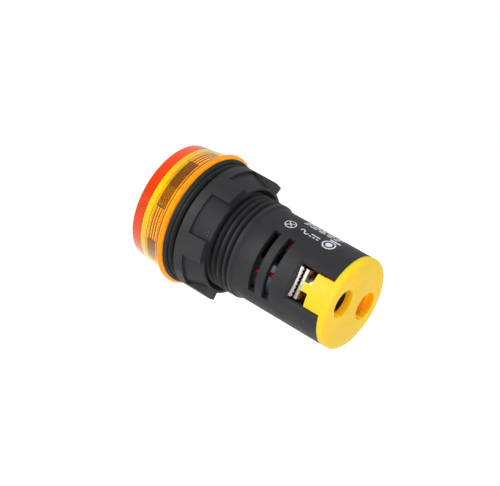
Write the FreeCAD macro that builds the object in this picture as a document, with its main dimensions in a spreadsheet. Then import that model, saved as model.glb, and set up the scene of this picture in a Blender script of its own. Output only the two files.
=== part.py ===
import FreeCAD, Part
import math
import os
from types import SimpleNamespace

import Sketcher

# Panel pilot light for a 22 mm panel hole, in millimetres.
# The axis is Y. The lens looks towards -Y and the terminals are at the +Y end.
# The origin is the centre of the face that the panel is clamped against.
# The two wire windows open towards +X and -X.

SIZES = {
    # Lens and its lip, measured forward of the panel
    "lens_front": 11.5,
    "lens_front_radius": 13.4,
    "lens_root_radius": 14.7,
    "lens_face_thickness": 2.5,
    "lens_root_wall": 1.95,
    "lens_edge_bevel": 0.35,
    "lip_radius": 15.3,
    "lip_front": 3.0,
    # Diffuser behind the lens face
    "diffuser_gap": 0.05,
    "diffuser_thickness": 1.0,
    "diffuser_rim": 1.0,
    # Flange, gasket and the drum that carries the lens
    "flange_front": 1.8,
    "flange_radius": 14.2,
    "gasket_thickness": 0.9,
    "gasket_radius": 13.9,
    "gasket_bore_radius": 10.7,
    "drum_radius": 12.55,
    "drum_bore_radius": 11.0,
    "drum_front": 4.4,
    "tongue_front": 7.0,
    "tongue_gap_angle": 35.0,
    "board_ledge": 2.0,
    # Threaded barrel and smooth body, measured back from the panel
    "neck_radius": 10.6,
    "pilot_radius": 10.9,
    "pilot_end": 0.95,
    "thread_start": 1.85,
    "thread_pitch": 1.5,
    "crest_radius": 10.9,
    "root_radius": 10.35,
    "thread_end": 14.25,
    "body_radius": 10.35,
    "body_end": 36.1,
    "bore_radius": 8.9,
    "rear_bore_radius": 9.2,
    "bulkhead_front": 24.9,
    "bulkhead_rear": 27.8,
    "partition_thickness": 1.4,
    "partition_end": 35.8,
    # Vent slots and wire windows
    "slot_front": 18.2,
    "slot_width": 1.7,
    "slot_step": 3.6,
    "slot_angle": 83.0,
    "window_angle": 46.4,
    "window_bevel": 0.6,
    # Panel nut
    "nut_front": 1.0,
    "nut_length": 7.0,
    "nut_radius": 14.2,
    "nut_bore_radius": 11.0,
    "nut_mouth_radius": 11.9,
    "nut_mouth_depth": 1.3,
    "pocket_front": 3.35,
    "pocket_angle": 38.5,
    "pocket_front_radius": 13.6,
    "pocket_rear_radius": 12.5,
    # Terminal cover
    "cover_thickness": 1.8,
    "cover_radius": 10.35,
    "cover_bevel": 0.4,
    "skirt_radius": 9.1,
    "skirt_bore_radius": 8.3,
    "skirt_depth": 2.6,
    "skirt_angle": 110.0,
    "tab_radius": 10.2,
    "tab_depth": 4.05,
    "tab_angle": 43.0,
    "tongue_radius": 10.0,
    "tongue_bore_radius": 9.2,
    "tongue_depth": 1.85,
    "tongue_angle": 11.4,
    "screwdriver_radius": 3.1,
    # Terminals: a screw, a clamp plate and a serrated contact plate a side
    "terminal_offset": 5.0,
    "plate_inner": 2.3,
    "contact_outer": 9.3,
    "clamp_inner": 2.0,
    "clamp_outer": 8.9,
    "plate_half_width": 3.3,
    "contact_thickness": 0.65,
    "tooth_height": 0.3,
    "clamp_gap": 0.15,
    "clamp_thickness": 0.85,
    "collar_radius": 2.5,
    "collar_depth": 2.3,
    "screw_hole_radius": 1.82,
    "collar_clearance": 0.1,
    "tail_inner": 7.5,
    "tail_thickness": 0.7,
    "tail_half_width": 0.8,
    "tail_depth": 4.9,
    "tail_clearance": 0.1,
    "screw_radius": 1.75,
    "screw_length": 4.7,
    "screw_head_radius": 2.8,
    "screw_head_height": 1.9,
    "recess_width": 0.9,
    "recess_length": 3.8,
    "recess_depth": 1.0,
    # Boards and the parts on them
    "led_board_radius": 10.8,
    "board_thickness": 1.2,
    "led_ring_radius": 6.2,
    "led_length": 3.5,
    "led_width": 2.8,
    "led_height": 0.8,
    "led_window_margin": 0.35,
    "led_window_depth": 0.2,
    "driver_board_face": 0.6,
    "driver_half_width": 8.4,
    "film_capacitor_height": 6.4,
    "film_capacitor_width": 6.0,
    "film_capacitor_length": 9.8,
    "film_capacitor_end": 24.3,
    "smoothing_radius": 2.5,
    "smoothing_length": 11.0,
    "smoothing_start": 4.0,
    "smoothing_side": 3.4,
    "rectifier_height": 2.4,
    "rectifier_width": 4.8,
    "rectifier_length": 4.4,
    "rectifier_start": 4.0,
    "rectifier_side": 1.5,
    "dropper_radius": 1.75,
    "dropper_length": 9.0,
    "dropper_start": 14.0,
    "dropper_side": 4.5,
    "bleed_radius": 1.2,
    "bleed_length": 6.4,
    "bleed_side": 4.7,
    "bleed_place": 22.4,
    "pin_width": 0.64,
    "pin_side": 2.5,
    "pin_end": 2.5,
    "wire_radius": 0.5,
}

CUT_MARGIN = 0.5   # how far a cutting outline stands past the wall that it cuts
ROOTING = 0.3      # how far an added form starts inside the one that carries it

THREAD_RINGS = 8
TONGUES = 4
TONGUE_GAP_CENTRE = -18.5   # degrees from +X towards +Z, middle of one gap
NUT_LUGS = 6
NUT_POCKET_CENTRE = 13.0    # degrees from +X towards +Z, middle of one pocket
CONTACT_TEETH = 8
LEDS = 6
TERMINAL_TURNS = {1: 180.0, 2: 0.0}   # degrees about the axis
RECESS_TURNS = {1: 65.0, 2: 20.0}     # degrees that each screw was left at

MITRED = 1   # how a swept pipe turns its corners

# Routes of the two lead wires, from the terminal's tail to the driver board
WIRE_ROUTES = {
    "lead_wire_1": [(-7.8, 23.6, 1.3), (-6.6, 19.0, 3.6), (-1.8, 19.0, 3.6)],
    "lead_wire_2": [(7.8, 23.6, -1.3), (6.9, 8.4, -4.6), (-0.6, 8.4, -4.6)],
}

UP_AXIS = FreeCAD.Vector(0, 1, 0)
ORIGIN = FreeCAD.Vector(0, 0, 0)


class Size:
    """A size with its number and the sheet formula that gives it."""

    def __init__(self, value, formula):
        self.value = value
        self.formula = formula

    def __add__(self, other):
        other = as_size(other)
        return Size(self.value + other.value, f"({self.formula} + {other.formula})")

    def __sub__(self, other):
        other = as_size(other)
        return Size(self.value - other.value, f"({self.formula} - {other.formula})")

    def __mul__(self, other):
        other = as_size(other)
        return Size(self.value * other.value, f"({self.formula} * {other.formula})")

    def __neg__(self):
        return Size(-self.value, f"(-1 * {self.formula})")


def as_size(number):
    """Wrap a bare number so that it can stand in a formula."""
    if isinstance(number, Size):
        return number
    return Size(float(number), f"({float(number)})")


def make_sheet(doc):
    """Put every driving size into a spreadsheet cell with an alias."""
    sheet = doc.addObject("Spreadsheet::Sheet", "Sizes")
    for row, (alias, value) in enumerate(SIZES.items(), start=1):
        sheet.set(f"A{row}", alias.replace("_", " "))
        sheet.set(f"B{row}", str(value))
        sheet.setAlias(f"B{row}", alias)
    doc.recompute()
    return SimpleNamespace(
        **{alias: Size(value, f"Sizes.{alias}") for alias, value in SIZES.items()}
    )


doc = FreeCAD.newDocument("panel_pilot_light")
at = make_sheet(doc)


def new_body(label):
    """A sub-part of its own."""
    body = doc.addObject("PartDesign::Body", label)
    body.Label = label
    return body


def origin_feature(body, role):
    """The body's own origin plane or axis with this role."""
    return next(item for item in body.Origin.OriginFeatures if item.Role == role)


def sketch_on(body, name, plane="XY_Plane", offset=None, turn=0.0):
    """A sketch on an origin plane, moved along its normal or turned about its own Y."""
    sketch = body.newObject("Sketcher::SketchObject", name)
    sketch.AttachmentSupport = [(origin_feature(body, plane), "")]
    sketch.MapMode = "FlatFace"
    sketch.AttachmentOffset = FreeCAD.Placement(ORIGIN, FreeCAD.Rotation(UP_AXIS, turn))
    if offset is not None:
        sketch.setExpression("AttachmentOffset.Base.z", offset.formula)
    return sketch


def hold_point(sketch, geometry, end, across, along):
    """Fix one point of a sketch by two sizes from the sketch's origin."""
    for kind, size, axis in (("DistanceX", across, -2), ("DistanceY", along, -1)):
        size = as_size(size)
        if abs(size.value) < 1e-9:
            sketch.addConstraint(Sketcher.Constraint("PointOnObject", geometry, end, axis))
        else:
            number = sketch.addConstraint(
                Sketcher.Constraint(kind, -1, 1, geometry, end, size.value)
            )
            sketch.setExpression(f"Constraints[{number}]", size.formula)


def draw_outline(sketch, corners):
    """A closed outline of straight edges, each corner held by two sizes."""
    points = [
        FreeCAD.Vector(as_size(across).value, as_size(along).value, 0)
        for across, along in corners
    ]
    start = len(sketch.Geometry)
    count = len(points)
    for number in range(count):
        following = points[(number + 1) % count]
        sketch.addGeometry(Part.LineSegment(points[number], following), False)
    for number in range(count):
        following = start + (number + 1) % count
        sketch.addConstraint(
            Sketcher.Constraint("Coincident", start + number, 2, following, 1)
        )
    for number, (across, along) in enumerate(corners):
        hold_point(sketch, start + number, 1, across, along)


def draw_box(sketch, low, high):
    """A rectangle between two corners."""
    draw_outline(sketch, [low, (high[0], low[1]), high, (low[0], high[1])])


def draw_circle(sketch, centre, radius):
    """A circle with its centre held by two sizes."""
    across, along = (as_size(item) for item in centre)
    middle = FreeCAD.Vector(across.value, along.value, 0)
    number = sketch.addGeometry(
        Part.Circle(middle, FreeCAD.Vector(0, 0, 1), radius.value), False
    )
    hold_point(sketch, number, 3, across, along)
    index = sketch.addConstraint(Sketcher.Constraint("Radius", number, radius.value))
    sketch.setExpression(f"Constraints[{index}]", radius.formula)


def turned(body, name, corners, cut=False, angle=None, turn=0.0):
    """Turn an outline of (radius, place along Y) corners about Y, all round or part way.

    A part turn is centred on the direction that turn gives, in degrees from +X towards +Z.
    """
    sketch = sketch_on(body, f"{name}_profile", turn=-turn)
    draw_outline(sketch, corners)
    kind = "PartDesign::Groove" if cut else "PartDesign::Revolution"
    feature = body.newObject(kind, name)
    feature.Profile = sketch
    feature.ReferenceAxis = (sketch, ["V_Axis"])
    feature.Angle = 360.0
    if angle is not None:
        feature.Midplane = True
        feature.setExpression("Angle", angle.formula)
    sketch.Visibility = False
    return feature


def ring_section(inner, outer, front, rear):
    """The four corners of a square-edged ring, to turn about Y."""
    return [(inner, front), (outer, front), (outer, rear), (inner, rear)]


def repeat_round(body, feature, name, count):
    """Repeat a feature round the Y axis."""
    pattern = body.newObject("PartDesign::PolarPattern", name)
    pattern.Originals = [feature]
    pattern.Axis = (origin_feature(body, "Y_Axis"), [""])
    pattern.Angle = 360.0
    pattern.Occurrences = count
    body.Tip = pattern
    return pattern


def extruded(body, name, draw, place, length, cut=False, rearward=False):
    """Pad or pocket, along Y, a sketch that the draw function fills in at this place."""
    sketch = sketch_on(body, f"{name}_profile", plane="XZ_Plane", offset=-place)
    draw(sketch)
    feature = body.newObject("PartDesign::Pocket" if cut else "PartDesign::Pad", name)
    feature.Profile = sketch
    feature.setExpression("Length", length.formula)
    feature.Reversed = rearward != cut
    sketch.Visibility = False
    return feature


def bevel(body, name, size, test):
    """Chamfer the edges of the body's last feature that pass the test."""
    doc.recompute()
    base = body.Tip
    edges = [
        f"Edge{number}"
        for number, edge in enumerate(base.Shape.Edges, start=1)
        if test(edge)
    ]
    feature = body.newObject("PartDesign::Chamfer", name)
    feature.Base = (base, edges)
    feature.setExpression("Size", size.formula)
    return feature


def is_ring(edge, radius, place):
    """True for a round edge about the Y axis with this radius at this place."""
    curve = edge.Curve
    return (
        isinstance(curve, Part.Circle)
        and abs(curve.Radius - radius.value) < 1e-3
        and abs(curve.Center.y - place.value) < 1e-3
        and math.hypot(curve.Center.x, curve.Center.z) < 1e-3
    )


def thread_profile():
    """Corners of the barrel's thread, drawn as V rings from root to crest."""
    corners = []
    for turn in range(THREAD_RINGS):
        root = at.thread_start + at.thread_pitch * turn
        corners.append((at.root_radius, root))
        corners.append((at.crest_radius, root + at.thread_pitch * 0.5))
    return corners


def make_housing():
    """Flange, lens drum, threaded barrel and body, moulded in one piece."""
    body = new_body("housing")
    flange_rear = -at.gasket_thickness
    turned(body, "shell", [
        (0, at.bulkhead_front),
        (at.bore_radius, at.bulkhead_front),
        (at.bore_radius, -at.board_ledge),
        (at.drum_bore_radius, -at.board_ledge),
        (at.drum_bore_radius, -at.tongue_front),
        (at.drum_radius, -at.tongue_front),
        (at.drum_radius, -at.flange_front),
        (at.flange_radius, -at.flange_front),
        (at.flange_radius, flange_rear),
        (at.neck_radius, flange_rear),
        (at.neck_radius, 0),
        (at.pilot_radius, 0),
        (at.pilot_radius, at.pilot_end),
        (at.root_radius, at.pilot_end),
        *thread_profile(),
        (at.body_radius, at.thread_end),
        (at.body_radius, at.body_end),
        (at.rear_bore_radius, at.body_end),
        (at.rear_bore_radius, at.bulkhead_rear),
        (0, at.bulkhead_rear),
    ])

    gap = turned(body, "tongue_gap", ring_section(
        at.drum_bore_radius - CUT_MARGIN, at.drum_radius + CUT_MARGIN,
        -at.tongue_front - CUT_MARGIN, -at.drum_front,
    ), cut=True, angle=at.tongue_gap_angle, turn=TONGUE_GAP_CENTRE)
    repeat_round(body, gap, "tongue_gaps", TONGUES)

    def partition(sketch):
        across = at.partition_thickness * 0.5
        tall = (at.rear_bore_radius + at.body_radius) * 0.5
        draw_box(sketch, (-across, -tall), (across, tall))

    extruded(body, "partition", partition, at.bulkhead_rear,
             at.partition_end - at.bulkhead_rear, rearward=True)

    for number in (1, 2):
        place = at.slot_front + at.slot_step * (number - 1)
        slot = turned(body, f"vent_slot_{number}", ring_section(
            at.bore_radius - CUT_MARGIN, at.body_radius + CUT_MARGIN,
            place, place + at.slot_width,
        ), cut=True, angle=at.slot_angle)
        repeat_round(body, slot, f"vent_slots_{number}", 2)

    window = turned(body, "wire_window", ring_section(
        at.rear_bore_radius - CUT_MARGIN, at.body_radius + CUT_MARGIN,
        at.bulkhead_rear, at.body_end + CUT_MARGIN,
    ), cut=True, angle=at.window_angle)
    repeat_round(body, window, "wire_windows", 2)

    def on_window_edge(edge):
        if is_ring(edge, at.body_radius, at.bulkhead_rear):
            return True
        ends = [vertex.Point for vertex in edge.Vertexes]
        return (
            len(ends) == 2
            and all(abs(math.hypot(p.x, p.z) - at.body_radius.value) < 1e-3 for p in ends)
            and abs(abs(ends[0].y - ends[1].y)
                    - (at.body_end.value - at.bulkhead_rear.value)) < 1e-3
            and abs(ends[0].x - ends[1].x) < 1e-3
            and abs(math.degrees(math.atan2(abs(ends[0].z), abs(ends[0].x)))
                    - at.window_angle.value / 2) < 0.1
        )

    bevel(body, "window_bevel", at.window_bevel, on_window_edge)

    def screw_wells(sketch):
        for side in (1, -1):
            draw_circle(sketch, (at.terminal_offset * side, 0),
                        at.collar_radius + at.collar_clearance)

    bulkhead = at.bulkhead_rear - at.bulkhead_front
    extruded(body, "screw_wells", screw_wells, at.bulkhead_rear, bulkhead, cut=True)

    def tail_slots(sketch):
        wide = at.tail_half_width + at.tail_clearance
        for side in (1, -1):
            inner = (at.tail_inner - at.tail_clearance) * side
            outer = (at.tail_inner + at.tail_thickness + at.tail_clearance) * side
            draw_box(sketch, (inner, -wide), (outer, wide))

    extruded(body, "tail_slots", tail_slots, at.bulkhead_rear, bulkhead, cut=True)
    return body


def make_lens():
    """Amber cap: a thick face, a thin wall and a lip that covers the panel hole's edge."""
    body = new_body("lens")
    inner = at.lens_root_radius - at.lens_root_wall
    turned(body, "shell", [
        (0, -at.lens_front),
        (at.lens_front_radius, -at.lens_front),
        (at.lens_root_radius, -at.lip_front),
        (at.lip_radius, -at.lip_front),
        (at.lip_radius, -at.flange_front),
        (inner, -at.flange_front),
        (inner, at.lens_face_thickness - at.lens_front),
        (0, at.lens_face_thickness - at.lens_front),
    ])
    bevel(body, "face_bevel", at.lens_edge_bevel,
          lambda edge: is_ring(edge, at.lens_front_radius, -at.lens_front))
    return body


def make_diffuser():
    """Milky cup that stands on the drum's tongues and spreads the light."""
    body = new_body("diffuser")
    face = at.lens_face_thickness - at.lens_front + at.diffuser_gap
    under = face + at.diffuser_thickness
    turned(body, "cup", [
        (0, face),
        (at.drum_radius, face),
        (at.drum_radius, -at.tongue_front),
        (at.drum_radius - at.diffuser_rim, -at.tongue_front),
        (at.drum_radius - at.diffuser_rim, under),
        (0, under),
    ])
    return body


def make_gasket():
    """Flat rubber ring between the flange and the panel."""
    body = new_body("gasket")
    turned(body, "ring", ring_section(
        at.gasket_bore_radius, at.gasket_radius, -at.gasket_thickness, 0,
    ))
    return body


def make_panel_nut():
    """Ring nut with six lugs; the hollows between them run out at the rear."""
    body = new_body("panel_nut")
    rear = at.nut_front + at.nut_length
    turned(body, "ring", [
        (at.nut_bore_radius, at.nut_front),
        (at.nut_radius, at.nut_front),
        (at.nut_radius, rear),
        (at.nut_mouth_radius, rear),
        (at.nut_bore_radius, rear - at.nut_mouth_depth),
    ])
    pocket = turned(body, "pocket", [
        (at.pocket_front_radius, at.pocket_front),
        (at.nut_radius + CUT_MARGIN, at.pocket_front),
        (at.nut_radius + CUT_MARGIN, rear),
        (at.pocket_rear_radius, rear),
    ], cut=True, angle=at.pocket_angle, turn=NUT_POCKET_CENTRE)
    repeat_round(body, pocket, "pockets", NUT_LUGS)
    return body


def make_terminal_cover():
    """Snap-in end cover with a side tab in each window and two screwdriver holes."""
    body = new_body("terminal_cover")
    face = at.body_end + at.cover_thickness
    turned(body, "disc", ring_section(0, at.cover_radius, at.body_end, face))
    bevel(body, "edge_bevel", at.cover_bevel,
          lambda edge: is_ring(edge, at.cover_radius, face))
    sectors = [
        ("skirt", at.skirt_bore_radius, at.skirt_radius, at.skirt_depth, 0, at.skirt_angle),
        ("tab", at.skirt_radius - ROOTING, at.tab_radius, at.tab_depth, 0, at.tab_angle),
        ("tongue", at.tongue_bore_radius, at.tongue_radius,
         at.tab_depth + at.tongue_depth, at.tab_depth - ROOTING, at.tongue_angle),
    ]
    for name, inner, outer, front, back, angle in sectors:
        outline = ring_section(inner, outer, at.body_end - front, at.body_end - back)
        sector = turned(body, name, outline, angle=angle)
        repeat_round(body, sector, f"{name}s", 2)

    def holes(sketch):
        for side in (1, -1):
            draw_circle(sketch, (at.terminal_offset * side, 0), at.screwdriver_radius)

    extruded(body, "screwdriver_holes", holes, face, at.cover_thickness, cut=True)
    return body


def place_terminal(body, number):
    """Turn a terminal's piece to its own side of the light."""
    body.Placement = FreeCAD.Placement(
        ORIGIN, FreeCAD.Rotation(UP_AXIS, TERMINAL_TURNS[number])
    )


def make_contact_plate(number):
    """Contact plate: a serrated face, a threaded collar and a soldering tail."""
    body = new_body(f"contact_plate_{number}")
    front = at.bulkhead_rear
    flat = front + at.contact_thickness
    tip = flat + at.tooth_height
    pitch = at.plate_half_width * (2.0 / CONTACT_TEETH)
    corners = [(front, -at.plate_half_width), (flat, -at.plate_half_width)]
    for tooth in range(CONTACT_TEETH):
        low = pitch * tooth - at.plate_half_width
        corners.append((tip, low + pitch * 0.5))
        corners.append((flat, low + pitch))
    corners.append((front, at.plate_half_width))

    comb = sketch_on(body, "plate_profile", plane="YZ_Plane", offset=at.plate_inner)
    draw_outline(comb, corners)
    plate = body.newObject("PartDesign::Pad", "plate")
    plate.Profile = comb
    plate.setExpression("Length", (at.contact_outer - at.plate_inner).formula)

    def collar(sketch):
        draw_circle(sketch, (at.terminal_offset, 0), at.collar_radius)

    def tail(sketch):
        outer = at.tail_inner + at.tail_thickness
        draw_box(sketch, (at.tail_inner, -at.tail_half_width), (outer, at.tail_half_width))

    def screw_hole(sketch):
        draw_circle(sketch, (at.terminal_offset, 0), at.screw_hole_radius)

    extruded(body, "collar", collar, front, at.collar_depth)
    extruded(body, "tail", tail, front, at.tail_depth)
    depth = at.collar_depth + at.contact_thickness + at.tooth_height
    extruded(body, "screw_hole", screw_hole, tip, depth, cut=True)
    place_terminal(body, number)
    return body


def clamp_front():
    """Where the clamp plate's front face stands when the screw is tight."""
    return at.bulkhead_rear + at.contact_thickness + at.tooth_height + at.clamp_gap


def make_clamp_plate(number):
    """Flat clamp plate that the screw lifts with it and presses on the wire."""
    body = new_body(f"clamp_plate_{number}")
    front = clamp_front()

    def plate(sketch):
        draw_box(sketch, (at.clamp_inner, -at.plate_half_width),
                 (at.clamp_outer, at.plate_half_width))

    def screw_hole(sketch):
        draw_circle(sketch, (at.terminal_offset, 0), at.screw_hole_radius)

    extruded(body, "plate", plate, front, at.clamp_thickness, rearward=True)
    extruded(body, "screw_hole", screw_hole, front, at.clamp_thickness, cut=True, rearward=True)
    place_terminal(body, number)
    return body


def make_terminal_screw(number):
    """Pan-head screw with a cross recess, seated on its clamp plate."""
    body = new_body(f"terminal_screw_{number}")
    seat = clamp_front() + at.clamp_thickness
    top = seat + at.screw_head_height
    turned(body, "blank", [
        (0, seat - at.screw_length),
        (at.screw_radius, seat - at.screw_length),
        (at.screw_radius, seat),
        (at.screw_head_radius, seat),
        (at.screw_head_radius, top),
        (0, top),
    ])

    def cross(sketch):
        far = at.recess_length * 0.5
        near = at.recess_width * 0.5
        draw_outline(sketch, [
            (-far, -near), (-near, -near), (-near, -far), (near, -far),
            (near, -near), (far, -near), (far, near), (near, near),
            (near, far), (-near, far), (-near, near), (-far, near),
        ])

    extruded(body, "recess", cross, top, at.recess_depth, cut=True)
    turn = FreeCAD.Rotation(UP_AXIS, TERMINAL_TURNS[number])
    centre = turn.multVec(FreeCAD.Vector(at.terminal_offset.value, 0, 0))
    body.Placement = FreeCAD.Placement(centre, FreeCAD.Rotation(UP_AXIS, RECESS_TURNS[number]))
    return body


def add_box(label, low, high):
    """A block between two corners, each given as three sizes."""
    block = doc.addObject("Part::Box", label)
    block.Label = label
    for field, first, last in zip(("Length", "Width", "Height"), low, high):
        block.setExpression(field, (as_size(last) - first).formula)
    for field, first in zip("xyz", low):
        block.setExpression(f"Placement.Base.{field}", as_size(first).formula)
    return block


def add_cylinder(label, radius, length, centre, axis):
    """A round bar from its first end's centre along an axis."""
    bar = doc.addObject("Part::Cylinder", label)
    bar.Label = label
    bar.setExpression("Radius", radius.formula)
    bar.setExpression("Height", as_size(length).formula)
    turn = FreeCAD.Rotation(FreeCAD.Vector(0, 0, 1), FreeCAD.Vector(*axis))
    bar.Placement = FreeCAD.Placement(ORIGIN, turn)
    for field, place in zip("xyz", centre):
        bar.setExpression(f"Placement.Base.{field}", as_size(place).formula)
    return bar


def combine(kind, label, base, tool):
    """A boolean of two shapes, such as Part::Cut."""
    result = doc.addObject(kind, label)
    result.Label = label
    result.Base = base
    result.Tool = tool
    return result


def make_link_pins():
    """Two square pins from the back of the lamp board, soldered to the driver board."""
    half = at.pin_width * 0.5
    pins = [
        add_box(f"link_pin_{number}",
                (-at.driver_board_face, -at.board_ledge, at.pin_side * side - half),
                (at.pin_width - at.driver_board_face, at.pin_end, at.pin_side * side + half))
        for number, side in ((1, 1), (2, -1))
    ]
    return combine("Part::Fuse", "link_pins", pins[0], pins[1])


def make_led_board():
    """Round board that lies on the ledge at the front of the barrel."""
    return add_cylinder("led_board", at.led_board_radius, at.board_thickness,
                        (0, -at.board_ledge, 0), (0, -1, 0))


def make_led(number):
    """Flat lamp chip with a sunk window, standing on the lamp board."""
    face = -at.board_ledge - at.board_thickness
    front = face - at.led_height
    half_length = at.led_length * 0.5
    half_width = at.led_width * 0.5
    package = add_box(
        f"led_package_{number}",
        (at.led_ring_radius - half_width, front, -half_length),
        (at.led_ring_radius + half_width, face, half_length),
    )
    half_length = half_length - at.led_window_margin
    half_width = half_width - at.led_window_margin
    window = add_box(
        f"led_window_{number}",
        (at.led_ring_radius - half_width, front - at.led_window_depth, -half_length),
        (at.led_ring_radius + half_width, front + at.led_window_depth, half_length),
    )
    led = combine("Part::Cut", f"led_{number}", package, window)
    turn = FreeCAD.Rotation(UP_AXIS, 360.0 * (number - 0.5) / LEDS)
    led.Placement = FreeCAD.Placement(ORIGIN, turn)
    return led


def make_board_parts():
    """Driver board along the barrel, with what is soldered to its two faces."""
    face = -at.driver_board_face
    back = face - at.board_thickness
    return [
        add_box("driver_board",
                (back, -at.board_ledge, -at.driver_half_width),
                (face, at.bulkhead_front, at.driver_half_width)),
        add_box("film_capacitor",
                (face, at.film_capacitor_end - at.film_capacitor_length,
                 -at.film_capacitor_width),
                (face + at.film_capacitor_height, at.film_capacitor_end, 0)),
        add_cylinder("smoothing_capacitor", at.smoothing_radius, at.smoothing_length,
                     (back - at.smoothing_radius, at.smoothing_start, at.smoothing_side),
                     (0, 1, 0)),
        add_box("rectifier",
                (back - at.rectifier_height, at.rectifier_start,
                 -at.rectifier_width - at.rectifier_side),
                (back, at.rectifier_start + at.rectifier_length, -at.rectifier_side)),
        add_cylinder("dropper_resistor", at.dropper_radius, at.dropper_length,
                     (back - at.dropper_radius, at.dropper_start, -at.dropper_side),
                     (0, 1, 0)),
        add_cylinder("bleed_resistor", at.bleed_radius, at.bleed_length,
                     (face, at.bleed_place, at.bleed_side), (1, 0, 0)),
        make_link_pins(),
    ]


def make_wire(label, route, radius):
    """A round wire along straight runs with mitred corners."""
    points = [FreeCAD.Vector(*place) for place in route]
    path = Part.makePolygon(points)
    ring = Part.Wire(Part.makeCircle(radius, points[0], points[1] - points[0]))
    wire = doc.addObject("Part::Feature", label)
    wire.Label = label
    wire.Shape = path.makePipeShell([ring], True, False, MITRED)
    section = math.pi * radius ** 2 * path.Length
    print(f"{label}: volume {wire.Shape.Volume:.2f} of {section:.2f} cubic mm")
    return wire


def build():
    """Every sub-part, in the order it is put together."""
    parts = [
        make_housing(),
        make_gasket(),
        make_panel_nut(),
        make_lens(),
        make_diffuser(),
        make_led_board(),
    ]
    parts += [make_led(number) for number in range(1, LEDS + 1)]
    parts += make_board_parts()
    for number in TERMINAL_TURNS:
        parts.append(make_contact_plate(number))
        parts.append(make_clamp_plate(number))
        parts.append(make_terminal_screw(number))
    for label, route in WIRE_ROUTES.items():
        parts.append(make_wire(label, route, at.wire_radius.value))
    parts.append(make_terminal_cover())
    return parts


def check(parts):
    """Stop if any object failed or any sub-part has no valid shape."""
    for item in doc.Objects:
        if "Invalid" in item.State or "Error" in item.State:
            raise RuntimeError(f"{item.Name} failed: {item.State}")
    for part in parts:
        if part.Shape.isNull() or not part.Shape.isValid():
            raise RuntimeError(f"{part.Label} has no valid shape")


sub_parts = build()
doc.recompute()
check(sub_parts)
os.makedirs("parts", exist_ok=True)
for part in sub_parts:
    part.Shape.exportStep(f"parts/{part.Label}.step")
    print(f"{part.Label}: {len(part.Shape.Solids)} solid, {part.Shape.Volume:.1f} cubic mm")
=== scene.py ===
"""A round panel pilot light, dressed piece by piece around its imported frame.

The axis is Y: the lens looks towards -Y and the terminals are at the +Y end.
Pieces are modelled in millimetres and handed over in metres.
"""

import logging
import math
from contextlib import contextmanager
from dataclasses import dataclass
from enum import Enum
from typing import Any, Iterator, Sequence

import bpy
from mathutils import Matrix, Vector

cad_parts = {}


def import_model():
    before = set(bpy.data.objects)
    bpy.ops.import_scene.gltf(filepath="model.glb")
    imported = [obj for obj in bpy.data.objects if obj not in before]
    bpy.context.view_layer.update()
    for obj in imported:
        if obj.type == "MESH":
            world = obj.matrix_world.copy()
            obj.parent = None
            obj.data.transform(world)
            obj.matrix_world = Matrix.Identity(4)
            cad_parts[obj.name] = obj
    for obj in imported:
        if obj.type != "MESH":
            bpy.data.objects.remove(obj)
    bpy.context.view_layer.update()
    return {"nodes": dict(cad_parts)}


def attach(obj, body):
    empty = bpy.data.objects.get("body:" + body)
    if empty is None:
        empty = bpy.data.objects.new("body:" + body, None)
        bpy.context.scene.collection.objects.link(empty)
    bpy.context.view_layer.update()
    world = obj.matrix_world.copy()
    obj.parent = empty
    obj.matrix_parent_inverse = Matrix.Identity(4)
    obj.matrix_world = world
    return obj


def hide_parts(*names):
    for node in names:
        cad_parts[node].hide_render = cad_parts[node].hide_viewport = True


LOG = logging.getLogger("pilot_light")

MM = 0.001
ROUND_STEPS = 144
SECTOR_STEPS = 24
CORNER_STEPS = 4
MERGE = 0.001
FLAT_ANGLE = math.radians(0.4)
SHARP_ANGLE = math.radians(30.0)
SMOOTH_ANGLE = math.radians(32.0)

Place = tuple[float, float, float]
Corner = tuple[float, ...]
Point = tuple[float, float]
Colour = tuple[float, float, float]
Ring = tuple[float, float, float, float]


class Body(Enum):
    """The rigid bodies that the pieces ride on."""

    ROOT = "root"
    NUT = "nut"
    COVER = "cover"
    CLAMP_1 = "clamp_1"
    CLAMP_2 = "clamp_2"
    SCREW_1 = "screw_1"
    SCREW_2 = "screw_2"


class Cut(Enum):
    """How one solid changes another."""

    TAKE_AWAY = "DIFFERENCE"
    JOIN = "UNION"


# Finishes


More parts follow.
